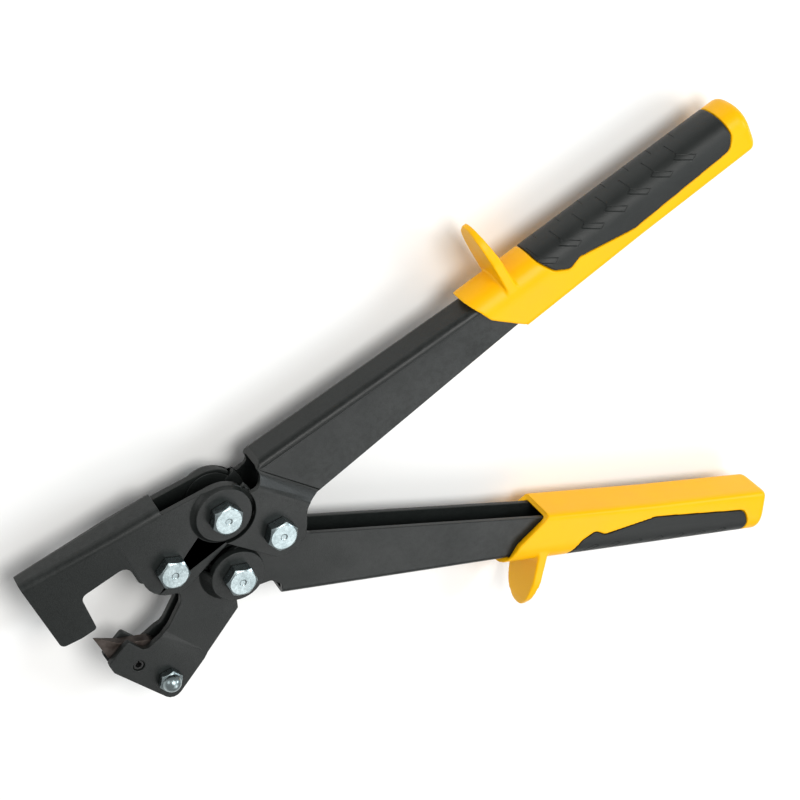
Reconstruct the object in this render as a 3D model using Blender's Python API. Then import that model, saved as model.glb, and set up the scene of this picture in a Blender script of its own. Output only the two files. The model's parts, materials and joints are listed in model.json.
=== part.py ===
# Two-handed profile crimper: a folded upper jaw, a two-plate lower jaw with a hardened punch,
# and two folded channel handles, joined by four bolts into a closed four-bar linkage.
# The tool lies on its side: plates in XY, bolt axes along Z. Design lengths are millimetres,
# measured from the jaw pivot and the tool's middle plane, and become metres in each mesh.
import math
import bpy
import bmesh
from mathutils import Matrix, Vector

MM = 0.001
# from the jaw pivot to the box centre, and from the middle plane to the lowest nut
FRAME_SHIFT = Vector((-128.53, -56.21, 21.9))
GAP = 0.3                                      # between touching pieces

# pivots of the linkage
JAW_PIVOT = Vector((0.0, 0.0))
UPPER_LINK = Vector((23.2, 24.1))
HANDLE_PIVOT = Vector((49.3, 10.6))
LOWER_LINK = Vector((30.2, -8.6))

# bolts and what is on them
SHANK_RADIUS = 4.0
HOLE_RADIUS = 4.3
OPEN_HOLE_RADIUS = 4.5                         # the linkage is opened at the lower link
HEAD_FLATS = 13.0
HEAD_HEIGHT = 5.3
NUT_HEIGHT = 8.0
WASHER_RADIUS = 8.0
WASHER_THICK = 1.4
SPACER_RADIUS = 6.8

# folded upper jaw
JAW_PLATE = 3.2
JAW_HALF = 8.4                                 # outer half width at the pivots
JAW_TIP_HALF = 6.0                             # outer half width at the lip's end
FOLD_ANGLE = math.radians(24.0)
FOLD_TOP = 31.0                                # fold line's height above the pivot
FOLD_START = -58.9
TAPER_START = -14.0
FOLD_END = 7.7
FOLD_RADIUS = 3.6
EAR_RADIUS = 14.0
JAW_EAR_Z = (8.2, 11.2)
POCKET_RADIUS = 12.6

# lower jaw plates
LOWER_PLATE = 2.9
LOWER_INNER = 2.0
TIP_INNER = 2.8
LINK_EAR_Z = (8.9, 11.9)
LINK_EAR_RADIUS = 13.0

# handles
HANDLE_PLATE = 2.5
HANDLE_HALF = 8.6
HANDLE_FOLD = 3.4                              # radius along the channel's two long edges
HANDLE_EAR_Z = (8.9, 11.4)
PRESSED_EAR_Z = (5.4, 7.9)
TANG_START = 12.0                              # along the grip, from its collar notch
CHANNEL_END = 108.0
TANG_TOP = 16.8                                # above the grip's flat inner face

# grips, the same moulding on both handles
GRIP_END = 134.7
GRIP_HALF = 12.5
GRIP_CROWN = 27.0                              # height at the collar, falling towards the end
CROWN_DROP = 2.6
PAD_THICK = 1.7
FULLNESS = 0.8                                 # below 1, the outer side is squarer than an ellipse
UPPER_GRIP = {"origin": Vector((167.0, 93.6)), "angle": 32.4, "side": 1, "spine": 20.6}
LOWER_GRIP = {"origin": Vector((190.2, -12.9)), "angle": -5.9, "side": -1, "spine": 22.9}

SIDES = (1, -1)


# ---------- small geometry helpers ----------

def polar(centre, radius, degrees):
    turn = math.radians(degrees)
    return Vector((centre[0] + radius * math.cos(turn), centre[1] + radius * math.sin(turn)))


def arc(centre, radius, start, end, steps=8):
    return [polar(centre, radius, start + (end - start) * i / steps) for i in range(steps + 1)]


def outline(corners, steps=4):
    """Corner points, each (x, y) or (x, y, radius), as one loop with its corners rounded."""
    loop = []
    count = len(corners)
    for i, corner in enumerate(corners):
        here = Vector(corner[:2])
        radius = corner[2] if len(corner) > 2 else 0.0
        if radius == 0.0:
            loop.append(here)
            continue
        back = (Vector(corners[i - 1][:2]) - here).normalized()
        ahead = (Vector(corners[(i + 1) % count][:2]) - here).normalized()
        half = back.angle(ahead) / 2
        reach = radius / math.tan(half)
        centre = here + (back + ahead).normalized() * (radius / math.sin(half))
        first = here + back * reach - centre
        sweep = first.angle_signed(here + ahead * reach - centre)
        for k in range(steps + 1):
            turned = first.copy()
            turned.rotate(Matrix.Rotation(-sweep * k / steps, 2))
            loop.append(centre + turned)
    return loop


def mesh_object(name, bm):
    bmesh.ops.remove_doubles(bm, verts=bm.verts, dist=0.001)
    bmesh.ops.recalc_face_normals(bm, faces=bm.faces)
    mesh = bpy.data.meshes.new(name)
    bm.to_mesh(mesh)
    bm.free()
    obj = bpy.data.objects.new(name, mesh)
    bpy.context.scene.collection.objects.link(obj)
    return obj


def prism(loop, low, high, name="block"):
    bm = bmesh.new()
    face = bm.faces.new([bm.verts.new((p[0], p[1], low)) for p in loop])
    grown = bmesh.ops.extrude_face_region(bm, geom=[face])
    top = [v for v in grown["geom"] if isinstance(v, bmesh.types.BMVert)]
    bmesh.ops.translate(bm, verts=top, vec=(0, 0, high - low))
    return mesh_object(name, bm)


def band(loop, low, high, side, name="block"):
    """A prism between two heights, on the near (1) or the far (-1) side."""
    return prism(loop, min(low * side, high * side), max(low * side, high * side), name)


def loft(rings, name="block"):
    """Closed rings of 3-D points with equal counts, skinned and capped."""
    bm = bmesh.new()
    loops = [[bm.verts.new(p) for p in ring] for ring in rings]
    count = len(loops[0])
    for near, far in zip(loops, loops[1:]):
        for i in range(count):
            k = (i + 1) % count
            bm.faces.new((near[i], near[k], far[k], far[i]))
    bm.faces.new(loops[0])
    bm.faces.new(loops[-1])
    return mesh_object(name, bm)


def disc(centre, radius, low, high, top_radius=None, steps=32, name="block"):
    top_radius = radius if top_radius is None else top_radius
    rings = []
    for r, z in ((radius, low), (top_radius, high)):
        rings.append([(*polar(centre, r, 360 * i / steps), z) for i in range(steps)])
    return loft(rings, name)


def cone(centre, base, top, low, high, side, steps=32):
    """A disc whose base is towards the middle plane, on the near (1) or the far (-1) side."""
    if side > 0:
        return disc(centre, base, low, high, top, steps)
    return disc(centre, top, -high, -low, base, steps)


def sector(centre, inner, outer, start, end, low, high):
    loop = arc(centre, outer, start, end, 10) + arc(centre, inner, end, start, 8)
    return prism(loop, low, high)


def combine(target, tools, how):
    """Apply a boolean of each tool to the target and remove the tool."""
    for tool in tools:
        modifier = target.modifiers.new(how, "BOOLEAN")
        modifier.operation = how
        modifier.solver = "EXACT"
        modifier.object = tool
        depsgraph = bpy.context.evaluated_depsgraph_get()
        mesh = bpy.data.meshes.new_from_object(target.evaluated_get(depsgraph))
        target.modifiers.clear()
        old = target.data
        target.data = mesh
        bpy.data.meshes.remove(old)
        bpy.data.objects.remove(tool)
    return target


def join(target, *tools):
    return combine(target, tools, "UNION")


def cut(target, *tools):
    return combine(target, tools, "DIFFERENCE")


def keep(target, *tools):
    return combine(target, tools, "INTERSECT")


def drill(target, centre, radius, low=-30, high=30):
    return cut(target, disc(centre, radius, low, high, steps=24))


def material(name, colour, roughness, metallic=0.0):
    mat = bpy.data.materials.new(name)
    mat.use_nodes = True
    shader = mat.node_tree.nodes["Principled BSDF"]
    shader.inputs["Base Color"].default_value = (*colour, 1)
    shader.inputs["Roughness"].default_value = roughness
    shader.inputs["Metallic"].default_value = metallic
    return mat


def finish(obj, name, mat, pivot):
    """Put a piece, modelled round the jaw pivot, on its own pivot in the frame, in metres."""
    origin = Vector((pivot[0], pivot[1], 0))
    obj.data.transform(Matrix.Scale(MM, 4) @ Matrix.Translation(-origin))
    bm = bmesh.new()
    bm.from_mesh(obj.data)
    bmesh.ops.remove_doubles(bm, verts=bm.verts, dist=0.00001)
    bmesh.ops.dissolve_degenerate(bm, edges=bm.edges, dist=0.00001)
    bm.to_mesh(obj.data)
    bm.free()
    obj.location = (origin + FRAME_SHIFT) * MM
    obj.name = name
    obj.data.name = name
    obj.data.materials.clear()
    obj.data.materials.append(mat)
    obj.data.shade_smooth()
    obj.data.set_sharp_from_angle(angle=math.radians(35))
    return obj


# ---------- upper jaw ----------

def fold_frame(along, up, z):
    """A point given along and above the fold line's direction."""
    turn = Matrix.Rotation(FOLD_ANGLE, 2)
    flat = turn @ Vector((along, up))
    return (flat.x, flat.y, z)


def fold_section(along, half, top, radius, bottom=-80):
    ring = outline([(-half, bottom), (-half, top, radius), (half, top, radius), (half, bottom)])
    return [fold_frame(along, up, z) for z, up in ring]


def jaw_half_width(along):
    share = (along - TAPER_START) / (FOLD_START - TAPER_START)
    return JAW_HALF + (JAW_TIP_HALF - JAW_HALF) * max(share, 0.0)


def upper_jaw():
    lip = [(-67.0, 5.3), (-48.8, -30.9, 2.5), (-39.8, -27.6, 8.0), (-33.2, -23.8, 1.6),
           (-40.1, -6.1, 3.2), (-19.5, 6.2, 4.0), (-14.4, -4.4, 3.0)]
    free_corners = ((FOLD_END, FOLD_TOP - JAW_PLATE), (FOLD_END, FOLD_TOP + 1), (FOLD_START, FOLD_TOP + 1))
    free_edge = [fold_frame(along, up, 0)[:2] for along, up in free_corners]
    rim = arc(JAW_PIVOT, 13.4, 200, 315, 10) + arc(UPPER_LINK, EAR_RADIUS, -45, 113, 14)
    loop = outline(lip + rim + free_edge)
    jaw = prism(loop, -JAW_HALF - 1, JAW_HALF + 1, "upper_jaw")
    stations = (-80, TAPER_START, 60)
    keep(jaw, loft([fold_section(s, jaw_half_width(s), FOLD_TOP, FOLD_RADIUS) for s in stations]))
    channel_top = FOLD_TOP - JAW_PLATE
    rings = [fold_section(s, jaw_half_width(s) - JAW_PLATE, channel_top, 0.8) for s in stations]
    cut(jaw, loft(rings))
    open_half = JAW_HALF - JAW_PLATE
    cut(jaw, loft([fold_section(s, open_half, FOLD_TOP + 20, 0.8) for s in (FOLD_END, 60)]))
    for side in SIDES:
        low, high = JAW_EAR_Z
        skirt_loop = arc(UPPER_LINK, 17.5, 70, 285, 14) + [Vector(UPPER_LINK)]
        skirt = cone(UPPER_LINK, 16.8, 12.4, 6.0, high - 0.1, side)
        keep(skirt, band(skirt_loop, 5, 12, side), prism(loop, -13, 13))
        join(skirt, cone(UPPER_LINK, EAR_RADIUS - 0.1, 13.0, low, high, side, 40))
        join(jaw, skirt)
        cut(jaw, sector(UPPER_LINK, 0.5, 16.3, -75, 54, *sorted((4 * side, (low - 0.02) * side))))
        cut(jaw, sector(UPPER_LINK, EAR_RADIUS + 0.2, 16.4, -74.2, -40, *sorted((3.9 * side, 9.4 * side))))
        cut(jaw, cone(UPPER_LINK, POCKET_RADIUS, POCKET_RADIUS, 4, low - 0.04, side))
    drill(jaw, UPPER_LINK, HOLE_RADIUS)
    drill(jaw, JAW_PIVOT, HOLE_RADIUS)
    return finish(jaw, "upper_jaw", BLACK_PAINT, JAW_PIVOT)


# ---------- lower jaw ----------

BEND = (Vector((-1.9, -34.1)), Vector((18.3, -50.8)))


def bent_sheet(line, profile, side):
    """A sheet bent across a line: profile points are (distance past the line, height)."""
    along = (line[1] - line[0]).normalized()
    across = Vector((-along.y, along.x))
    rings = []
    for reach in (-60, 120):
        ring = []
        for past, z in profile:
            flat = line[0] + along * reach + across * past
            ring.append((flat.x, flat.y, z * side))
        rings.append(ring)
    return loft(rings)


def lower_jaw_plate(name, side):
    front = [(-25.4, -51.0, 1.5), (-28.0, -46.0, 1.2), (-19.0, -35.6, 1.3), (-11.0, -42.4, 3.0),
             (-0.3, -33.9, 12.0), (5.8, -21.0, 5.0), (5.4, -16.2, 1.8), (-2.4, -15.0, 0.8)]
    back = [(44.8, -13.6), (19.1, -51.4, 10.0), (2.9, -74.0, 5.0)]
    over = polar(LOWER_LINK, LINK_EAR_RADIUS, 74)
    loop = outline(front + arc(JAW_PIVOT, 12.8, 255, 74, 14) + [over] + back)
    low, high = LOWER_INNER, LOWER_INNER + LOWER_PLATE
    step = TIP_INNER - LOWER_INNER
    profile = [(-60, low + step), (-3, low + step), (0, low), (90, low),
               (90, high), (0, high), (-3, high + step), (-60, high + step)]
    plate = keep(bent_sheet(BEND, profile, side), prism(loop, -15, 15))
    ear_low, ear_high = LINK_EAR_Z
    wall = cone(LOWER_LINK, 16.8, LINK_EAR_RADIUS - 0.6, 3, ear_high - 0.1, side)
    keep(wall, sector(LOWER_LINK, 1, 20, 168, 278, -20, 20))
    join(wall, cone(LOWER_LINK, LINK_EAR_RADIUS, LINK_EAR_RADIUS - 0.4, ear_low, ear_high, side, 40))
    join(plate, wall)
    cut(plate, cone(LOWER_LINK, 12.0, 12.0, 0.5, ear_low - 0.04, side))
    cut(plate, sector(LOWER_LINK, 1, 30, -82, 78, *sorted((0.6 * side, (ear_low - 0.02) * side))))
    clear = [(-5, -24.6), (60, 40.4), (60, 90), (-30, 90), (-30, -24.6)]
    cut(plate, band(clear, high + 0.02, JAW_HALF + GAP, side))
    drill(plate, JAW_PIVOT, HOLE_RADIUS)
    drill(plate, LOWER_LINK, HOLE_RADIUS)
    drill(plate, PUNCH_BOLT, 3.3)
    drill(plate, ROLL_PIN, 2.7)
    return finish(plate, name, BLACK_PAINT, JAW_PIVOT)


# ---------- punch and its fasteners ----------

PUNCH_BOLT = Vector((0.2, -60.4))
ROLL_PIN = Vector((-14.0, -49.9))
PUNCH_HALF = 2.5


def punch():
    tip = Vector((-33.4, -33.4))
    loop = [tip, Vector((-21.5, -38.0)), Vector((-8.0, -39.2)), Vector((2.5, -47.0)), Vector((7.6, -58.5)),
            Vector((1.5, -68.0)), Vector((-22.5, -49.8)), Vector((-27.6, -43.6))]
    body = prism(loop, -PUNCH_HALF, PUNCH_HALF)
    heel = Vector((-23.0, -41.5))
    spread = (heel - tip).normalized()
    side_way = Vector((-spread.y, spread.x)) * 30
    for side in SIDES:
        rings = []
        for lift in (-1, 1):
            edge = tip + side_way * lift
            base = heel + side_way * lift
            rings.append([(edge.x, edge.y, 0.15 * side), (base.x, base.y, PUNCH_HALF * side),
                          (base.x, base.y, 9 * side), (edge.x - 9, edge.y + 9, 9 * side),
                          (edge.x - 9, edge.y + 9, 0.15 * side)])
        cut(body, loft(rings))
    drill(body, PUNCH_BOLT, 3.3)
    drill(body, ROLL_PIN, 2.7)
    return finish(body, "punch", TOOL_STEEL, JAW_PIVOT)


def tube(centre, outer, inner, low, high, steps=28):
    bore = disc(centre, inner, low - 1, high + 1, steps=steps)
    return cut(disc(centre, outer, low, high, steps=steps), bore)


def hexagon(centre, flats, turn):
    return [polar(centre, flats / 2 / math.cos(math.radians(30)), turn + 60 * i) for i in range(6)]


def hex_block(centre, flats, turn, low, high, bevel_up=True):
    """A hexagonal prism whose corners are turned down to a cone at its free end."""
    block = prism(hexagon(centre, flats, turn), low, high)
    corner = flats / 2 / math.cos(math.radians(30))
    drop = 1.0
    face = flats / 2 - 0.5
    if bevel_up:
        return keep(block, loft_rings(centre, ((corner + 1, low - 1), (corner, high - drop), (face, high))))
    return keep(block, loft_rings(centre, ((face, low), (corner, low + drop), (corner + 1, high + 1))))


def loft_rings(centre, steps_up, steps=32):
    rings = []
    for radius, z in steps_up:
        rings.append([(*polar(centre, radius, 360 * i / steps), z) for i in range(steps)])
    return loft(rings)


def roll_pin():
    pin = tube(ROLL_PIN, 2.4, 1.4, -5.0, 5.0, 20)
    slit = prism([ROLL_PIN + Vector(p) for p in ((-0.3, 0), (-0.3, 4), (0.3, 4), (0.3, 0))], -6, 6)
    cut(pin, slit)
    return finish(pin, "punch_roll_pin", DARK_STEEL, JAW_PIVOT)


def punch_bolt():
    under = TIP_INNER + LOWER_PLATE + GAP
    bolt = hex_block(PUNCH_BOLT, 10.0, 10, -under - 4.0, -under, bevel_up=False)
    join(bolt, disc(PUNCH_BOLT, 3.0, -under - 0.5, under + 2.2, steps=24))
    return finish(bolt, "punch_bolt", ZINC, JAW_PIVOT)


def punch_cap_nut():
    seat = TIP_INNER + LOWER_PLATE + GAP
    nut = hex_block(PUNCH_BOLT, 10.0, 20, seat, seat + 3.6)
    dome = [(4.55 * math.cos(math.radians(a)), seat + 3.2 + 4.3 * math.sin(math.radians(a)))
            for a in (0, 15, 30, 45, 60, 74, 84)]
    join(nut, loft_rings(PUNCH_BOLT, [(4.55, seat + 1.5)] + dome, 24))
    cut(nut, disc(PUNCH_BOLT, 3.3, seat - 1, seat + 2.6, steps=24))
    return finish(nut, "punch_cap_nut", ZINC, JAW_PIVOT)


# ---------- handles ----------

def on_grip(grip, along, out):
    """A point given along the grip and outwards from its flat inner face."""
    turn = math.radians(grip["angle"])
    axis = Vector((math.cos(turn), math.sin(turn)))
    outward = Vector((-axis.y, axis.x)) * grip["side"]
    return grip["origin"] + axis * along + outward * out


RAMP = (Vector((40.8, 39.8)), Vector((66.0, 26.4)))


def channel_envelope(spine, side):
    """Round the fold's two long edges: a bar whose top follows the spine line."""
    along = (spine[1] - spine[0]).normalized()
    up = Vector((-along.y, along.x)) * side
    half = HANDLE_HALF
    rings = []
    for reach in (-40, 320):
        section = outline([(-half, -60), (-half, 0, HANDLE_FOLD), (half, 0, HANDLE_FOLD), (half, -60)])
        base = spine[0] + along * reach
        rings.append([(*(base + up * h), z) for z, h in section])
    return loft(rings)


def hollow(spine, side, reach, depth=60):
    """The channel's inside: open towards the other handle."""
    along = (spine[1] - spine[0]).normalized()
    up = Vector((-along.y, along.x)) * side
    inner = HANDLE_HALF - HANDLE_PLATE
    corners = [(-inner, -depth), (-inner, -HANDLE_PLATE, 1.0), (inner, -HANDLE_PLATE, 1.0), (inner, -depth)]
    rings = []
    for step in reach:
        section = outline(corners)
        base = spine[0] + along * step
        rings.append([(*(base + up * h), z) for z, h in section])
    return loft(rings)


def tang(grip):
    """The narrower end of the channel, inside the grip."""
    start = TANG_START - 4
    end = CHANNEL_END
    outer = [on_grip(grip, u, w) for u, w in ((start, 2), (end, 2), (end, TANG_TOP), (start, TANG_TOP))]
    low, top = -2, TANG_TOP - HANDLE_PLATE
    far = CHANNEL_END + 1
    inner = [on_grip(grip, u, w) for u, w in ((start - 1, low), (far, low), (far, top), (start - 1, top))]
    half = HANDLE_HALF - 0.02
    inner_half = HANDLE_HALF - HANDLE_PLATE
    return cut(prism(outer, -half, half), prism(inner, -inner_half, inner_half))


def upper_handle():
    grip = UPPER_GRIP
    spine = (Vector((38.5, 45.2)), on_grip(grip, TANG_START, grip["spine"]))
    notch = arc((34.6, 38.8), 5.6, 38, -95, 8)
    inner_edge = [(62.6, 21.0, 7.0), (163.0, 92.6, 20.0)]
    tail = [on_grip(grip, TANG_START, 2.0), on_grip(grip, TANG_START, grip["spine"])]
    loop = arc(UPPER_LINK, 12.4, 75, 242.6, 12) + arc(HANDLE_PIVOT, 13.6, 267, 365, 12)
    loop += outline([loop[-1], *inner_edge, *tail, Vector((40.6, 46.4)), notch[0]])[1:]
    loop += notch[1:]
    handle = channel_envelope(spine, 1)
    cut(handle, hollow(spine, 1, (-60, 340)))
    past_ramp = [RAMP[0] + Vector((-60, 33.6)), RAMP[1] + Vector((60, -30.2))]
    past_ramp += [(120, -90), (-90, -90), (-90, 60)]
    cut(handle, prism(past_ramp, -20, 20))
    ramp_run = 5.5
    low, high = HANDLE_EAR_Z
    body_low, body_high = HANDLE_HALF - HANDLE_PLATE + 0.04, HANDLE_HALF - 0.04
    profile = [(-80, low), (-ramp_run, low), (0, body_low), (3.2, body_low),
               (3.2, body_high), (0, body_high), (-ramp_run, high), (-80, high)]
    for side in SIDES:
        join(handle, bent_sheet(RAMP, profile, side))
    keep(handle, prism(loop, -15, 15))
    join(handle, tang(grip))
    pressed_low, pressed_high = PRESSED_EAR_Z
    for side in SIDES:
        cut(handle, disc(UPPER_LINK, EAR_RADIUS + 2 * GAP, *sorted((7.91 * side, 13 * side)), steps=48))
        pressed = sector(UPPER_LINK, 10, 15.8, -50, 48, *sorted((pressed_low * side, pressed_high * side)))
        seat = sorted(((pressed_low + 0.03) * side, (pressed_high - 0.03) * side))
        join(pressed, disc(UPPER_LINK, POCKET_RADIUS - 0.4, *seat))
        web = sorted((7.0 * side, 9.5 * side))
        join(pressed, sector(UPPER_LINK, EAR_RADIUS + 2 * GAP + 0.05, 15.6, -49, 47, *web))
        join(handle, pressed)
    drill(handle, UPPER_LINK, HOLE_RADIUS)
    drill(handle, HANDLE_PIVOT, HOLE_RADIUS)
    return finish(handle, "upper_handle", BLACK_PAINT, UPPER_LINK)


def lower_handle():
    grip = LOWER_GRIP
    spine = (Vector((52.6, -26.2)), on_grip(grip, TANG_START, grip["spine"]))
    loop = arc(HANDLE_PIVOT, 13.2, 138, 8, 12)
    edge = [(63.2, 4.5, 4.0), (187.5, -14.2, 20.0)]
    tail = [on_grip(grip, TANG_START, 2.0), on_grip(grip, TANG_START, grip["spine"])]
    heel = [(53.6, -27.5), (52.8, -20.4, 1.5), (47.6, -17.0, 3.0)]
    waist = (32.4, 6.4, 9.0)
    loop = outline(loop + edge + tail + heel + arc(LOWER_LINK, 11.5, -78, -216, 12) + [waist])
    handle = prism(loop, -HANDLE_HALF - 1, HANDLE_HALF + 1)
    keep(handle, channel_envelope(spine, -1))
    cut(handle, hollow(spine, -1, (-60, 320)))
    join(handle, tang(grip))
    drill(handle, HANDLE_PIVOT, HOLE_RADIUS)
    drill(handle, LOWER_LINK, OPEN_HOLE_RADIUS)
    return finish(handle, "lower_handle", BLACK_PAINT, HANDLE_PIVOT)


# ---------- grips ----------

def grip_section(along, shrink=0.0):
    """D-shaped section: flat inner face, straight drafted sides, elliptical outer side."""
    crown = GRIP_CROWN - CROWN_DROP * along / GRIP_END
    half = GRIP_HALF - shrink
    height = crown - shrink
    knee = 13.0
    ring = [(shrink, -half + 2.6), (shrink, half - 2.6), (shrink + 1.6, half - 1.5)]
    for i in range(0, 15):
        turn = math.radians(180 * i / 14)
        rise = math.sin(turn) ** FULLNESS
        width = math.copysign(abs(math.cos(turn)) ** FULLNESS, math.cos(turn))
        ring.append((knee + (height - knee) * rise, half * width))
    ring.append((shrink + 1.6, -half + 1.5))
    return [(along, out, z) for out, z in ring]


def grip_body(shrink=0.0):
    """The moulding from its collar to its rounded end."""
    rings = [grip_section(-24, shrink)]
    rings += [grip_section(u, shrink) for u in (0, 60, GRIP_END - 6)]
    for ease in (30, 60, 90):
        turn = math.radians(ease)
        inset = shrink + 6 * (1 - math.cos(turn))
        rings.append(grip_section(GRIP_END - 6 + 6 * math.sin(turn), inset))
    return loft(rings)


def across(corners, low=-20, high=20):
    return prism(outline(corners), low, high)


PAD_EDGE = [(17.5, 34), (17.8, 24, 8), (22.5, 15.6, 6.0), (29.5, 11.0, 3.0), (35.5, 13.4, 3.0),
            (64.5, 6.9, 8.0), (120.5, 9.2, 4.5), (124.0, 16.0, 8.0), (123.5, 34)]


def grown(corners, amount):
    """Push an outline outwards from the pad's middle line."""
    middle = Vector((70, 30))
    wide = []
    for corner in corners:
        x = corner[0] + (amount if corner[0] > middle.x else -amount)
        wide.append((x, corner[1] - amount, *corner[2:]))
    return wide


def grip_shell(grip):
    shell = grip_body()
    mouth = [(-40, -10), (0, -10), (0, 0, 0.6), (-13.5, 14.8, 3.0), (-16.0, 21.0, 3.0),
             (-20.5, 29.5), (-40, 50)]
    cut(shell, across(mouth))
    recess = across(grown(PAD_EDGE, GAP))
    cut(recess, grip_body(PAD_THICK + GAP))
    cut(shell, recess)
    fin_side = [(-0.8, 12), (0.2, 50.0), (1.2, 56.0, 1.2), (3.2, 56.0, 1.0), (4.6, 40), (5.0, 12)]
    fin = across(fin_side, -GRIP_HALF, GRIP_HALF)
    tongue = [(10, 11.5), (38, 12.3), (46, 10.2), (52, 6.4), (55, 2.6)]
    loop = [(*p,) for p in tongue] + [(p[0], -p[1]) for p in reversed(tongue)]
    bm = bmesh.new()
    face = bm.faces.new([bm.verts.new((-6, w, z)) for w, z in loop])
    grow = bmesh.ops.extrude_face_region(bm, geom=[face])
    moved = [v for v in grow["geom"] if isinstance(v, bmesh.types.BMVert)]
    bmesh.ops.translate(bm, verts=moved, vec=(16, 0, 0))
    keep(fin, mesh_object("tongue", bm))
    cut(fin, across([(-30, -20), (60, -20), (60, 14), (-30, 14)]))
    join(shell, fin)
    half = HANDLE_HALF + GAP
    spine = grip["spine"]
    step = TANG_START + GAP
    end = CHANNEL_END + GAP
    socket = [(-40, 0.2), (8, 1.7), (end, 1.7), (end, TANG_TOP + GAP), (step, TANG_TOP + GAP),
              (step, spine + GAP), (-40, spine + 3.4)]
    cut(shell, across(socket, -half, half))
    return shell


def grip_pad():
    pad = across(PAD_EDGE)
    keep(pad, grip_body())
    cut(pad, grip_body(PAD_THICK))
    return pad


def place_on_grip(obj, name, mat, grip, pivot):
    """Turn a grip piece from its own axes onto its handle."""
    turn = Matrix.Rotation(math.radians(grip["angle"]), 4, "Z")
    if grip["side"] < 0:
        turn = turn @ Matrix.Rotation(math.pi, 4, "X")
    obj.data.transform(Matrix.Translation((*grip["origin"], 0)) @ turn)
    return finish(obj, name, mat, pivot)


# ---------- pivots ----------

def pivot_set(name, centre, stack, inside, hex_turn):
    """Bolt from the near side, spacer between the inner plates, washer and lock nut behind."""
    seat = stack + GAP
    nut_seat = seat + WASHER_THICK + GAP
    nut_end = -nut_seat - NUT_HEIGHT
    bolt = hex_block(centre, HEAD_FLATS, hex_turn, seat, seat + HEAD_HEIGHT)
    cut(bolt, disc(centre, 1.3, seat + HEAD_HEIGHT - 0.3, seat + HEAD_HEIGHT + 1, 2.6, steps=20))
    join(bolt, disc(centre, SHANK_RADIUS, nut_end + 1.2, seat + 1, steps=28))
    finish(bolt, name + "_bolt", ZINC, centre)
    sleeve = tube(centre, SPACER_RADIUS, HOLE_RADIUS, -inside + GAP, inside - GAP)
    finish(sleeve, name + "_spacer", DARK_STEEL, centre)
    washer = tube(centre, WASHER_RADIUS, HOLE_RADIUS, -seat - WASHER_THICK, -seat)
    finish(washer, name + "_washer", ZINC, centre)
    nut = hex_block(centre, HEAD_FLATS, hex_turn + 11, nut_end + 1.6, -nut_seat, bevel_up=False)
    join(nut, loft_rings(centre, ((4.9, nut_end), (5.6, nut_end + 0.7), (5.6, nut_end + 3))))
    cut(nut, disc(centre, HOLE_RADIUS, nut_end - 1, 0, steps=28))
    finish(nut, name + "_nut", ZINC, centre)


# ---------- the whole tool ----------

for leftover in list(bpy.data.objects):
    bpy.data.objects.remove(leftover)

BLACK_PAINT = material("black_paint", (0.040, 0.045, 0.042), 0.42, 0.1)
TOOL_STEEL = material("tool_steel", (0.16, 0.12, 0.10), 0.45, 0.8)
DARK_STEEL = material("dark_steel", (0.05, 0.05, 0.05), 0.5, 0.7)
ZINC = material("zinc", (0.62, 0.68, 0.68), 0.28, 1.0)
YELLOW = material("yellow_plastic", (0.95, 0.60, 0.0), 0.35)
RUBBER = material("black_rubber", (0.050, 0.055, 0.052), 0.6)

upper_jaw()
lower_jaw_plate("lower_jaw_near_plate", 1)
lower_jaw_plate("lower_jaw_far_plate", -1)
punch()
roll_pin()
punch_bolt()
punch_cap_nut()
upper_handle()
lower_handle()
for label, grip_spec, own_pivot in (("upper", UPPER_GRIP, UPPER_LINK), ("lower", LOWER_GRIP, HANDLE_PIVOT)):
    place_on_grip(grip_shell(grip_spec), label + "_grip_shell", YELLOW, grip_spec, own_pivot)
    place_on_grip(grip_pad(), label + "_grip_pad", RUBBER, grip_spec, own_pivot)
pivot_set("upper_link", UPPER_LINK, JAW_EAR_Z[1], PRESSED_EAR_Z[0], 24)
pivot_set("handle_pivot", HANDLE_PIVOT, HANDLE_EAR_Z[1], HANDLE_HALF - HANDLE_PLATE, 20)
pivot_set("jaw_pivot", JAW_PIVOT, JAW_HALF, LOWER_INNER, -6)
pivot_set("lower_link", LOWER_LINK, LINK_EAR_Z[1], HANDLE_HALF - HANDLE_PLATE, -3)
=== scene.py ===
import json
import math
import bpy
import bmesh
from mathutils import Matrix, Vector
from mathutils.bvhtree import BVHTree


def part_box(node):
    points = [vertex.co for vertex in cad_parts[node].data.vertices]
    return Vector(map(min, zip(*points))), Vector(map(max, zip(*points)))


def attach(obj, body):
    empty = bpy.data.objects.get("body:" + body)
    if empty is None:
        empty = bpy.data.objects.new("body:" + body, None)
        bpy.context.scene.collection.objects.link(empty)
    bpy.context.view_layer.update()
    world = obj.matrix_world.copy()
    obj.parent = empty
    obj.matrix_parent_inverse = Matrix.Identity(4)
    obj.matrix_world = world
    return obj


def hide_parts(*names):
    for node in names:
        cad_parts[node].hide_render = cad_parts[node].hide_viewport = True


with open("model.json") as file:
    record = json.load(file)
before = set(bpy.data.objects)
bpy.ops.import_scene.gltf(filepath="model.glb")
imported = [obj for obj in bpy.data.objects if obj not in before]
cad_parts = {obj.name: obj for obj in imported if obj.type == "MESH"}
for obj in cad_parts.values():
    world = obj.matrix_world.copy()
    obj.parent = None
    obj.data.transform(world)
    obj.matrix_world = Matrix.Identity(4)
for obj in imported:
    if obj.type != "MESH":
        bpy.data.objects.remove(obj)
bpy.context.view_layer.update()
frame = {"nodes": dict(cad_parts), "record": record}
mm = 0.001                                       # grips are drawn in millimetres, then placed in metres
nodes = frame["nodes"]
print("frame loaded:", len(nodes), "nodes")


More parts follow.
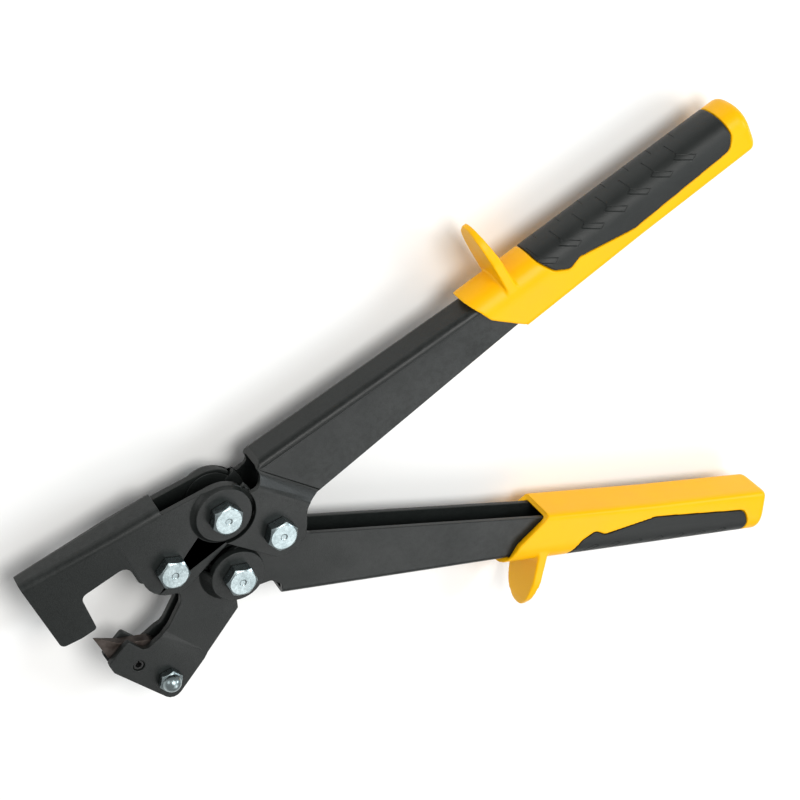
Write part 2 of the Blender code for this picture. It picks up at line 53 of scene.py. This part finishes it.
# camera, floor and lights, in metres, degrees, lens millimetres and watts
camera = {"place": (-0.35118, 0.38185, 0.65132), "turn": (-29.760, -26.008, 3.918),
          "lens": 80.88, "near": 0.01}
lamps = {
    "overhead": {"place": (0.05, 0.45, 1.15), "size": 0.7, "watts": 10.0, "tint": (1.0, 0.99, 0.97)},
    "front": {"place": (0.62, -0.70, 1.15), "size": 0.9, "watts": 5.5, "tint": (1.0, 1.0, 1.0)},
    "window": {"place": (1.05, 0.24, 0.90), "size": 0.45, "watts": 5.0, "tint": (0.88, 0.95, 1.0)},
    "left": {"place": (-1.1, 0.45, 0.60), "size": 0.7, "watts": 2.0, "tint": (1.0, 1.0, 1.0)},
}
floor = {"half": 4.0, "colour": (0.90, 0.90, 0.89), "roughness": 0.7, "sky": 0.40}


def aimAtOrigin(place):
    return (-Vector(place)).to_track_quat("-Z", "Y").to_euler()


def addObject(name, data):
    thing = bpy.data.objects.new(name, data)
    bpy.context.scene.collection.objects.link(thing)
    return thing


lens = bpy.data.cameras.new("camera")
lens.lens = camera["lens"]
lens.clip_start = camera["near"]
eye = addObject("camera", lens)
eye.location = camera["place"]
eye.rotation_euler = [math.radians(a) for a in camera["turn"]]
bpy.context.scene.camera = eye

for lampName, lamp in lamps.items():
    bulb = bpy.data.lights.new(lampName, "AREA")
    bulb.shape = "DISK"
    bulb.size = lamp["size"]
    bulb.energy = lamp["watts"]
    bulb.color = lamp["tint"]
    stand = addObject(lampName, bulb)
    stand.location = lamp["place"]
    stand.rotation_euler = aimAtOrigin(lamp["place"])

world = bpy.data.worlds.new("studio")
world.use_nodes = True
world.node_tree.nodes["Background"].inputs["Color"].default_value = (1, 1, 1, 1)
world.node_tree.nodes["Background"].inputs["Strength"].default_value = floor["sky"]
bpy.context.scene.world = world
bpy.context.scene.view_settings.view_transform = "Standard"


# shader helpers, then the effects that several materials share
def addNode(tree, kind, values=None, **settings):
    node = tree.nodes.new(kind)
    for key, value in settings.items():
        setattr(node, key, value)
    for key, value in (values or {}).items():
        node.inputs[key].default_value = value
    return node


def wire(tree, *links):
    for start, end in links:
        tree.links.new(start, end)


def newGroup(name, takes, gives):
    group = bpy.data.node_groups.new(name, "ShaderNodeTree")
    for label, kind, value in takes:
        socket = group.interface.new_socket(name=label, in_out="INPUT", socket_type="NodeSocket" + kind)
        socket.default_value = value
    for label, kind in gives:
        group.interface.new_socket(name=label, in_out="OUTPUT", socket_type="NodeSocket" + kind)
    return group, addNode(group, "NodeGroupInput"), addNode(group, "NodeGroupOutput")


def mottleGroup():
    # broad clouds for handling marks, fine grains for speckle
    group, given, made = newGroup("mottle", [("Clouds", "Float", 60.0), ("Grains", "Float", 2500.0)],
                                  [("Cloud", "Float"), ("Grain", "Float")])
    place = addNode(group, "ShaderNodeTexCoord")
    cloud = addNode(group, "ShaderNodeTexNoise", {"Detail": 4.0, "Roughness": 0.6})
    grain = addNode(group, "ShaderNodeTexNoise", {"Detail": 2.0, "Roughness": 0.5})
    wire(group,
         (place.outputs["Object"], cloud.inputs["Vector"]), (given.outputs["Clouds"], cloud.inputs["Scale"]),
         (place.outputs["Object"], grain.inputs["Vector"]), (given.outputs["Grains"], grain.inputs["Scale"]),
         (cloud.outputs["Fac"], made.inputs["Cloud"]), (grain.outputs["Fac"], made.inputs["Grain"]))
    return group


def edgeWearAndHighlightGroup():
    # a mask on raised edges, broken up by noise: worn edges, and a painted edge highlight
    group, given, made = newGroup("edgeWearAndHighlight", [("Amount", "Float", 0.5), ("Breaks", "Float", 300.0)],
                                  [("Mask", "Float")])
    shape = addNode(group, "ShaderNodeNewGeometry")
    raised = addNode(group, "ShaderNodeMapRange", {"From Min": 0.54, "From Max": 0.62})
    place = addNode(group, "ShaderNodeTexCoord")
    breaks = addNode(group, "ShaderNodeTexNoise", {"Detail": 3.0})
    worn = addNode(group, "ShaderNodeMapRange", {"From Min": 0.38, "From Max": 0.62})
    both = addNode(group, "ShaderNodeMath", operation="MULTIPLY")
    scaled = addNode(group, "ShaderNodeMath", operation="MULTIPLY")
    wire(group,
         (place.outputs["Object"], breaks.inputs["Vector"]), (given.outputs["Breaks"], breaks.inputs["Scale"]),
         (shape.outputs["Pointiness"], raised.inputs["Value"]), (breaks.outputs["Fac"], worn.inputs["Value"]),
         (raised.outputs["Result"], both.inputs[0]), (worn.outputs["Result"], both.inputs[1]),
         (both.outputs["Value"], scaled.inputs[0]), (given.outputs["Amount"], scaled.inputs[1]),
         (scaled.outputs["Value"], made.inputs["Mask"]))
    return group


def brushedGroup():
    # fine lines along one direction, from stretched noise
    group, given, made = newGroup("brushed", [("Stretch", "Vector", (1, 1, 1)), ("Scale", "Float", 900.0)],
                                  [("Line", "Float")])
    place = addNode(group, "ShaderNodeTexCoord")
    pull = addNode(group, "ShaderNodeMapping")
    lines = addNode(group, "ShaderNodeTexNoise", {"Detail": 3.0, "Roughness": 0.6})
    wire(group,
         (place.outputs["Object"], pull.inputs["Vector"]), (given.outputs["Stretch"], pull.inputs["Scale"]),
         (pull.outputs["Vector"], lines.inputs["Vector"]), (given.outputs["Scale"], lines.inputs["Scale"]),
         (lines.outputs["Fac"], made.inputs["Line"]))
    return group


mottle = mottleGroup()
edgeWearAndHighlight = edgeWearAndHighlightGroup()
brushed = brushedGroup()


def newMaterial(name, fixed):
    # fixed holds the values that are the same all over the surface
    mat = bpy.data.materials.new(name)
    mat.use_nodes = True
    tree = mat.node_tree
    shader = tree.nodes["Principled BSDF"]
    for key, value in fixed.items():
        shader.inputs[key].default_value = value
    return mat, tree, shader


def useGroup(tree, group, values):
    return addNode(tree, "ShaderNodeGroup", values, node_tree=group)


def blend(tree, mask, low, high):
    # a colour between low and high, by a mask
    mixer = addNode(tree, "ShaderNodeMix", data_type="RGBA")
    tree.links.new(mask, mixer.inputs["Factor"])
    for socket, value in ((mixer.inputs[6], low), (mixer.inputs[7], high)):
        if hasattr(value, "type"):
            tree.links.new(value, socket)
        else:
            socket.default_value = (*value, 1)
    return mixer.outputs[2]


def between(tree, mask, low, high):
    # a number from low to high as the mask goes from 0.3 to 0.7
    limits = {"From Min": 0.3, "From Max": 0.7, "To Min": low, "To Max": high}
    spread = addNode(tree, "ShaderNodeMapRange", limits)
    tree.links.new(mask, spread.inputs["Value"])
    return spread.outputs["Result"]


def bumpFrom(tree, shader, height, distance):
    bump = addNode(tree, "ShaderNodeBump", {"Strength": 1.0, "Distance": distance})
    wire(tree, (height, bump.inputs["Height"]), (bump.outputs["Normal"], shader.inputs["Normal"]))


def paintedSteel(name, look):
    mat, tree, shader = newMaterial(name, {"Specular IOR Level": look["shine"]})
    tone = useGroup(tree, mottle, {"Clouds": 45.0, "Grains": look["grains"]})
    # raised edges get a lighter colour: worn paint, and a painted edge highlight
    wear = useGroup(tree, edgeWearAndHighlight, {"Amount": look["wear"], "Breaks": 350.0})
    speckle = blend(tree, between(tree, tone.outputs["Grain"], 0.0, 1.0), look["dark"], look["light"])
    wire(tree, (blend(tree, wear.outputs["Mask"], speckle, look["bare"]), shader.inputs["Base Color"]),
         (between(tree, tone.outputs["Cloud"], *look["roughness"]), shader.inputs["Roughness"]))
    bumpFrom(tree, shader, tone.outputs["Grain"], look["bump"])
    return mat


def platedSteel(name, look):
    mat, tree, shader = newMaterial(name, {"Metallic": look["metallic"]})
    tone = useGroup(tree, mottle, {"Clouds": 160.0, "Grains": 1800.0})
    line = useGroup(tree, brushed, {"Stretch": look["stretch"], "Scale": 700.0})
    colour = blend(tree, between(tree, tone.outputs["Cloud"], 0.0, 1.0), look["dark"], look["light"])
    wire(tree, (colour, shader.inputs["Base Color"]),
         (between(tree, line.outputs["Line"], *look["roughness"]), shader.inputs["Roughness"]))
    bumpFrom(tree, shader, line.outputs["Line"], look["bump"])
    return mat


def mouldedPlastic(name, look):
    mat, tree, shader = newMaterial(name, {"Specular IOR Level": look["shine"]})
    tone = useGroup(tree, mottle, {"Clouds": 35.0, "Grains": look["grains"]})
    # raised edges get a lighter colour: worn plastic, and a painted edge highlight
    wear = useGroup(tree, edgeWearAndHighlight, {"Amount": look["wear"], "Breaks": 250.0})
    colour = blend(tree, between(tree, tone.outputs["Cloud"], 0.0, 1.0), look["dark"], look["light"])
    wire(tree, (blend(tree, wear.outputs["Mask"], colour, look["bare"]), shader.inputs["Base Color"]),
         (between(tree, tone.outputs["Cloud"], *look["roughness"]), shader.inputs["Roughness"]))
    bumpFrom(tree, shader, tone.outputs["Grain"], look["bump"])
    return mat


# each material's edge colour and amount stand for worn edges and a painted edge highlight
blackPaint = paintedSteel("blackPaint", {
    "dark": (0.0055, 0.0070, 0.0066), "light": (0.0150, 0.0175, 0.0165), "bare": (0.055, 0.062, 0.062),
    "wear": 0.6, "shine": 0.28, "roughness": (0.30, 0.42), "grains": 2200.0, "bump": 0.00006})
zinc = platedSteel("zinc", {
    "dark": (0.22, 0.27, 0.28), "light": (0.36, 0.42, 0.43), "metallic": 1.0, "stretch": (1, 1, 1),
    "roughness": (0.22, 0.36), "bump": 0.00003})
toolSteel = platedSteel("toolSteel", {
    "dark": (0.045, 0.034, 0.028), "light": (0.13, 0.11, 0.10), "metallic": 0.85, "stretch": (1, 6, 1),
    "roughness": (0.34, 0.50), "bump": 0.00005})
darkSteel = platedSteel("darkSteel", {
    "dark": (0.010, 0.010, 0.010), "light": (0.030, 0.030, 0.030), "metallic": 0.6, "stretch": (1, 1, 8),
    "roughness": (0.35, 0.50), "bump": 0.00004})
yellowPlastic = mouldedPlastic("yellowPlastic", {
    "dark": (0.90, 0.45, 0.0), "light": (0.95, 0.485, 0.0), "bare": (0.93, 0.52, 0.02), "wear": 0.4,
    "shine": 0.16, "roughness": (0.30, 0.40), "grains": 1500.0, "bump": 0.00004})
blackRubber = mouldedPlastic("blackRubber", {
    "dark": (0.0070, 0.0088, 0.0084), "light": (0.0145, 0.0170, 0.0160), "bare": (0.05, 0.056, 0.055),
    "wear": 0.5, "shine": 0.32, "roughness": (0.40, 0.52), "grains": 2600.0, "bump": 0.00008})
nylon = mouldedPlastic("nylon", {
    "dark": (0.42, 0.50, 0.58), "light": (0.50, 0.58, 0.65), "bare": (0.6, 0.66, 0.7), "wear": 0.2,
    "shine": 0.4, "roughness": (0.40, 0.50), "grains": 1500.0, "bump": 0.00002})
paleFloor, floorTree, floorShader = newMaterial("paleFloor", {"Base Color": (*floor["colour"], 1),
                                                              "Roughness": floor["roughness"]})

sheet = bmesh.new()
bmesh.ops.create_grid(sheet, x_segments=1, y_segments=1, size=floor["half"])
floorMesh = bpy.data.meshes.new("floor")
sheet.to_mesh(floorMesh)
floorMesh.materials.append(paleFloor)
addObject("floor", floorMesh)
print("camera, lights and floor placed")


# steel parts: the frame's own shapes, with broken edges
steel = {
    # node: material, material slot, edge width in metres
    "upper_jaw": (blackPaint, "black_paint", 0.35 * mm),
    "lower_jaw_near_plate": (blackPaint, "black_paint", 0.35 * mm),
    "lower_jaw_far_plate": (blackPaint, "black_paint", 0.35 * mm),
    "upper_handle": (blackPaint, "black_paint", 0.35 * mm),
    "lower_handle": (blackPaint, "black_paint", 0.35 * mm),
    "punch": (toolSteel, "tool_steel", 0.12 * mm),
    "punch_roll_pin": (darkSteel, "dark_steel", 0.15 * mm),
    "punch_bolt": (zinc, "zinc", 0.15 * mm),
    "punch_cap_nut": (zinc, "zinc", 0.15 * mm),
}
for pivot in ("upper_link", "handle_pivot", "jaw_pivot", "lower_link"):
    for part in ("bolt", "washer", "nut"):
        steel[pivot + "_" + part] = (zinc, "zinc", 0.18 * mm)
    steel[pivot + "_spacer"] = (darkSteel, "dark_steel", 0.2 * mm)
edges = {"weld": 0.02 * mm, "flat": math.radians(0.6), "sharp": math.radians(28), "segments": 2,
         "crease": math.radians(50)}

bodyOf = {node: body for body, held in frame["record"]["behaviour"]["bodies"].items() for node in held}


def pieceName(node):
    words = node.split("_")
    return words[0] + "".join(w.capitalize() for w in words[1:])


def meshPiece(name, work):
    mesh = bpy.data.meshes.new(name)
    work.to_mesh(mesh)
    work.free()
    return addObject(name, mesh)


def smoothShade(piece):
    piece.data.polygons.foreach_set("use_smooth", [True] * len(piece.data.polygons))
    piece.data.set_sharp_from_angle(angle=edges["crease"])
    piece.modifiers.new("evenNormals", "WEIGHTED_NORMAL").keep_sharp = True


def brokenEdges(node, mat, width):
    work = bmesh.new()
    work.from_mesh(nodes[node].data)
    bmesh.ops.remove_doubles(work, verts=work.verts, dist=edges["weld"])
    bmesh.ops.dissolve_limit(work, angle_limit=edges["flat"], verts=work.verts, edges=work.edges)
    sharp = [e for e in work.edges if len(e.link_faces) == 2 and e.calc_face_angle(0) > edges["sharp"]]
    before = BVHTree.FromBMesh(work)
    bmesh.ops.bevel(work, geom=sharp, offset=width, affect="EDGES", segments=edges["segments"], profile=0.5,
                    material=-1, clamp_overlap=False)
    for vert in work.verts:                      # a thin corner can throw a point outwards
        place, _, _, away = before.find_nearest(vert.co)
        if away > width:
            vert.co = place
    piece = meshPiece(pieceName(node), work)
    piece.data.materials.append(mat)
    smoothShade(piece)
    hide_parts(node)
    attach(piece, bodyOf[node])


for node, (mat, slot, width) in steel.items():
    brokenEdges(node, mat, width)
print("steel parts made:", len(steel))


# the lock nuts' nylon rings, seen from below
ring = {"outer": 5.0 * mm, "inner": 4.05 * mm, "thick": 1.1 * mm, "rise": 0.35 * mm,
        "slope": (0.5 * mm, 0.4 * mm), "steps": 48, "weld": 0.001 * mm}


def lathe(name, profile, centre, mat, body):
    # spins (radius, height) points round the bolt's axis
    work = bmesh.new()
    knots = [work.verts.new((centre.x + r, centre.y, h)) for r, h in profile]
    line = [work.edges.new(pair) for pair in zip(knots, knots[1:] + knots[:1])]
    bmesh.ops.spin(work, geom=knots + line, cent=(centre.x, centre.y, 0), axis=(0, 0, 1), angle=math.tau,
                   steps=ring["steps"], use_merge=True)
    bmesh.ops.remove_doubles(work, verts=work.verts, dist=ring["weld"])
    bmesh.ops.recalc_face_normals(work, faces=work.faces)
    piece = meshPiece(name, work)
    piece.data.materials.append(mat)
    smoothShade(piece)
    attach(piece, body)


for pivot in ("upper_link", "handle_pivot", "jaw_pivot", "lower_link"):
    low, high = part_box(pivot + "_nut")
    centre = (low + high) / 2
    bottom = low.z + ring["rise"]
    top = bottom + ring["thick"]
    back, up = ring["slope"]
    profile = [(ring["inner"], bottom), (ring["outer"] - back, bottom), (ring["outer"], bottom + up),
               (ring["outer"], top), (ring["inner"], top)]
    lathe(pieceName(pivot) + "NylonRing", profile, centre, nylon, bodyOf[pivot + "_nut"])
print("nylon rings made")


# grips: one moulding for both handles, drawn along x, out from its flat face along y, across along z
grip = {
    "length": 134.7, "half": 12.5, "crown": 27.0, "crownDrop": 2.6, "knee": 13.0, "fullness": 0.8,
    "innerBox": 0.20, "draft": (0.02, 0.13), "flare": 1.2, "endRound": 4.0, "start": -24.0,
    "around": 96, "along": 110, "straightShare": 0.88, "weld": 0.001, "mountAlong": 60,
    "voxel": 0.55, "smoothing": 5,
}
through = (-30, 30)                              # cutters pass right through a grip, from side to side
mouth = [(-40, -10), (0, -10), (0, 0, 0.6), (-13.5, 14.8, 3.0), (-16.0, 21.0, 3.0), (-20.5, 29.5), (-40, 50)]
guard = {"profile": [(-0.8, 12), (-1.2, 50.0), (-0.6, 55.6, 1.2), (1.6, 55.6, 1.0), (3.4, 40), (4.8, 12)],
         "plan": [(10, 11.5, 0), (38, 12.3, 20), (48, 9.5, 14), (54.5, 4.0, 6)], "along": (-6, 10),
         "under": [(-30, -20), (60, -20), (60, 14.0), (-30, 14.0)]}
socket = {"half": 8.9, "mouth": -40, "lip": (8, 0.2), "reach": 108.3, "step": 12.3, "floor": 1.7,
          "tangTop": 17.1, "spine": (20.9, 24.3)}
pad = {"edge": [(17.5, 34), (17.8, 24, 8), (22.5, 15.6, 6.0), (29.5, 11.0, 3.0), (35.5, 13.4, 3.0),
                (64.5, 6.9, 8.0), (120.5, 9.2, 4.5), (124.0, 16.0, 8.0), (123.5, 34)],
       "middle": 70, "gap": 0.3, "thick": 1.7, "voxel": 0.5, "smoothing": 3}
bars = {"count": 7, "first": 18.4, "pitch": 13.05, "slant": 7.2, "width": 2.6, "top": 50, "foot": 22,
        "over": 92, "crownStep": 4, "sweep": 0.9, "tilt": 3, "ease": 1.15, "steps": 10, "stagger": 6.5,
        "groove": 0.30}


def gripPoint(along, turn, inset=0.0):
    # a point of the D-shaped section; turn is 0 to 180 degrees on the outer side, 180 to 360 on the flat one
    turn %= 360
    bite = math.cos(math.radians(turn))
    rise = math.sin(math.radians(turn))
    half = grip["half"] - inset
    if rise >= 0:
        top = grip["crown"] - grip["crownDrop"] * max(along, grip["start"]) / grip["length"] - inset
        out = grip["knee"] + (top - grip["knee"]) * rise ** grip["fullness"]
        return Vector((along, out, math.copysign(half * abs(bite) ** grip["fullness"], bite)))
    down = abs(rise) ** grip["innerBox"]
    share = min(max(along / grip["length"], 0), 1)
    face = inset - grip["flare"] * max(1 - 2 * share, 0)       # the flare has gone by half way
    out = grip["knee"] - (grip["knee"] - face) * down
    draft = grip["draft"][0] + (grip["draft"][1] - grip["draft"][0]) * share
    width = half * abs(bite) ** grip["innerBox"] * (1 - draft * down)
    return Vector((along, out, math.copysign(width, bite)))


def gripBody(inset=0.0):
    # a grid rolled into a tube, with a rounded end
    tube = bmesh.new()
    bmesh.ops.create_grid(tube, x_segments=grip["along"], y_segments=grip["around"], size=1.0)
    straight = grip["length"] - grip["endRound"]
    for vert in tube.verts:
        far = (vert.co.x + 1) / 2
        turn = (vert.co.y + 1) * 180
        share = grip["straightShare"]
        if far <= share:
            vert.co = gripPoint(grip["start"] + (straight - grip["start"]) * far / share, turn, inset)
        else:
            ease = (far - share) / (1 - share) * math.pi / 2
            vert.co = gripPoint(straight + grip["endRound"] * math.sin(ease), turn,
                                inset + grip["endRound"] * (1 - math.cos(ease)))
    bmesh.ops.remove_doubles(tube, verts=tube.verts, dist=grip["weld"])
    rims = [e for e in tube.edges if e.is_boundary]
    bmesh.ops.holes_fill(tube, edges=rims)
    bmesh.ops.recalc_face_normals(tube, faces=tube.faces)
    return meshPiece("gripBody", tube)


def rounded(corners, steps=8):
    # corner points, each with an optional radius, as one loop
    loop = []
    for i, corner in enumerate(corners):
        here = Vector(corner[:2])
        if len(corner) < 3 or corner[2] == 0:
            loop.append(here)
            continue
        back = (Vector(corners[i - 1][:2]) - here).normalized()
        ahead = (Vector(corners[(i + 1) % len(corners)][:2]) - here).normalized()
        half = back.angle(ahead) / 2
        centre = here + (back + ahead).normalized() * corner[2] / math.sin(half)
        first = here + back * corner[2] / math.tan(half) - centre
        last = here + ahead * corner[2] / math.tan(half) - centre
        sweep = -first.angle_signed(last)
        for k in range(steps + 1):
            loop.append(centre + Matrix.Rotation(sweep * k / steps, 2) @ first)
    return loop


def slab(corners, low, high, side=False):
    # a flat outline given thickness across the grip, or along it when side is set
    work = bmesh.new()
    loop = rounded(corners)
    work.faces.new([work.verts.new((low, x, y) if side else (x, y, low)) for x, y in loop])
    way = Vector((1, 0, 0)) if side else Vector((0, 0, 1))
    risen = bmesh.ops.extrude_face_region(work, geom=work.faces[:])["geom"]
    moved = [v for v in risen if isinstance(v, bmesh.types.BMVert)]
    bmesh.ops.translate(work, verts=moved, vec=way * (high - low))
    bmesh.ops.recalc_face_normals(work, faces=work.faces)
    return meshPiece("slab", work)


def shape(target, tool, how, messy=False):
    # applies one boolean and removes the tool
    step = target.modifiers.new("shape", "BOOLEAN")
    step.operation = how
    step.object = tool
    step.solver = "EXACT"
    step.use_self = messy
    applyModifiers(target)
    bpy.data.objects.remove(tool)
    return target


def applyModifiers(piece):
    bpy.context.view_layer.update()
    evaluated = piece.evaluated_get(bpy.context.evaluated_depsgraph_get())
    mesh = bpy.data.meshes.new_from_object(evaluated)
    piece.modifiers.clear()
    piece.data = mesh


def soften(piece, voxel, rounds):
    # rebuilds the surface with evenly rounded moulded edges
    remesh = piece.modifiers.new("remesh", "REMESH")
    remesh.mode = "VOXEL"
    remesh.voxel_size = voxel
    ease = piece.modifiers.new("ease", "SMOOTH")
    ease.factor = 0.5
    ease.iterations = rounds
    applyModifiers(piece)
    return piece


def grown(corners, amount):
    # the pad's outline, pushed out at both ends and along its lower edge
    wide = []
    for corner in corners:
        x = corner[0] + (amount if corner[0] > pad["middle"] else -amount)
        wide.append((x, corner[1] - amount, *corner[2:]))
    return wide


def gripShell():
    shell = shape(gripBody(), slab(mouth, *through), "DIFFERENCE")
    recess = slab(grown(pad["edge"], pad["gap"]), *through)
    shape(recess, gripBody(pad["thick"] + pad["gap"]), "DIFFERENCE")
    shape(shell, recess, "DIFFERENCE")
    plan = guard["plan"]
    loop = [(w, z, r) for w, z, r in plan] + [(w, -z, r) for w, z, r in reversed(plan)]
    fin = slab(guard["profile"], -grip["half"], grip["half"])
    shape(fin, slab(loop, *guard["along"], side=True), "INTERSECT")
    shape(fin, slab(guard["under"], *through), "DIFFERENCE")
    shape(shell, fin, "UNION")
    start, end = socket["step"], socket["reach"]
    lipAlong, lipOut = socket["lip"]
    inside = [(socket["mouth"], lipOut), (lipAlong, socket["floor"]), (end, socket["floor"]),
              (end, socket["tangTop"]), (start, socket["tangTop"]), (start, socket["spine"][0]),
              (socket["mouth"], socket["spine"][1])]
    shape(shell, slab(inside, -socket["half"], socket["half"]), "DIFFERENCE")
    return soften(shell, grip["voxel"], grip["smoothing"])


def grooveCords(lines):
    # thin round cords laid on the pad's surface, used to cut its grooves
    curve = bpy.data.curves.new("cords", "CURVE")
    curve.dimensions = "3D"
    curve.bevel_depth = bars["groove"]
    curve.bevel_resolution = 1
    curve.use_fill_caps = True
    for points, closed in lines:
        spline = curve.splines.new("POLY")
        spline.points.add(len(points) - 1)
        for knot, point in zip(spline.points, points):
            knot.co = (*point, 1)
        spline.use_cyclic_u = closed
    cords = addObject("cords", curve)
    bpy.context.view_layer.update()
    mesh = bpy.data.meshes.new_from_object(cords.evaluated_get(bpy.context.evaluated_depsgraph_get()))
    bpy.data.objects.remove(cords)
    return addObject("cords", mesh)


def barLines(start, side):
    # a slim slanted bar from near the crown down to the cheek, and the line that runs on over the crown
    half = bars["width"] / 2
    upper, lower = [], []
    for i in range(bars["steps"] + 1):
        share = i / bars["steps"]
        turn = bars["top"] + (bars["foot"] - bars["top"]) * share
        along = start + bars["slant"] * share ** bars["ease"]
        upper.append((along + half, turn + bars["tilt"]))
        lower.append((along - half, turn - bars["tilt"]))
    crown = [(start + half - bars["sweep"] * math.sin(math.radians(t - bars["top"]) * 2), t)
             for t in range(bars["top"] + bars["tilt"], bars["over"] + 1, bars["crownStep"])]
    lines = []
    for line, closed in ((upper + lower[::-1], True), (crown, False)):
        lines.append(([gripPoint(u, t if side > 0 else 180 - t) for u, t in line], closed))
    return lines


def gripPad():
    block = shape(slab(pad["edge"], *through), gripBody(), "INTERSECT")
    shape(block, gripBody(pad["thick"]), "DIFFERENCE")
    soften(block, pad["voxel"], pad["smoothing"])
    lines = []
    for side in (1, -1):
        for i in range(bars["count"]):
            start = bars["first"] + bars["pitch"] * i + (bars["stagger"] if side < 0 else 0)
            lines += barLines(start, side)
    return shape(block, grooveCords(lines), "DIFFERENCE", messy=True)


def placeOnGrip(source, name, mount, flip, mat, node):
    # the mount on the flat inner face gives the grip's place and direction
    face = next(m for m in frame["record"]["mounts"] if m["name"] == mount)
    out = -Vector(face["axis"])
    along = Vector((out.y, -out.x, 0)) * (-1 if flip else 1)
    across = along.cross(out)
    origin = Vector(face["pos_m"]) - along * grip["mountAlong"] * mm
    turn = Matrix((along, out, across)).transposed().to_4x4()
    mesh = source.data.copy()
    mesh.transform(Matrix.Translation(origin) @ turn @ Matrix.Scale(mm, 4))
    mesh.materials.clear()
    mesh.materials.append(mat)
    piece = addObject(name, mesh)
    smoothShade(piece)
    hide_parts(node)
    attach(piece, bodyOf[node])


shellSource = gripShell()
print("grip shell made:", len(shellSource.data.polygons), "faces")
padSource = gripPad()
print("grip pad made:", len(padSource.data.polygons), "faces")
for label, flip in (("upper", False), ("lower", True)):
    mount = label + "_grip_face"
    placeOnGrip(shellSource, label + "GripShell", mount, flip, yellowPlastic,
                label + "_grip_shell")
    placeOnGrip(padSource, label + "GripPad", mount, flip, blackRubber, label + "_grip_pad")
bpy.data.objects.remove(shellSource)
bpy.data.objects.remove(padSource)
print("grips placed")
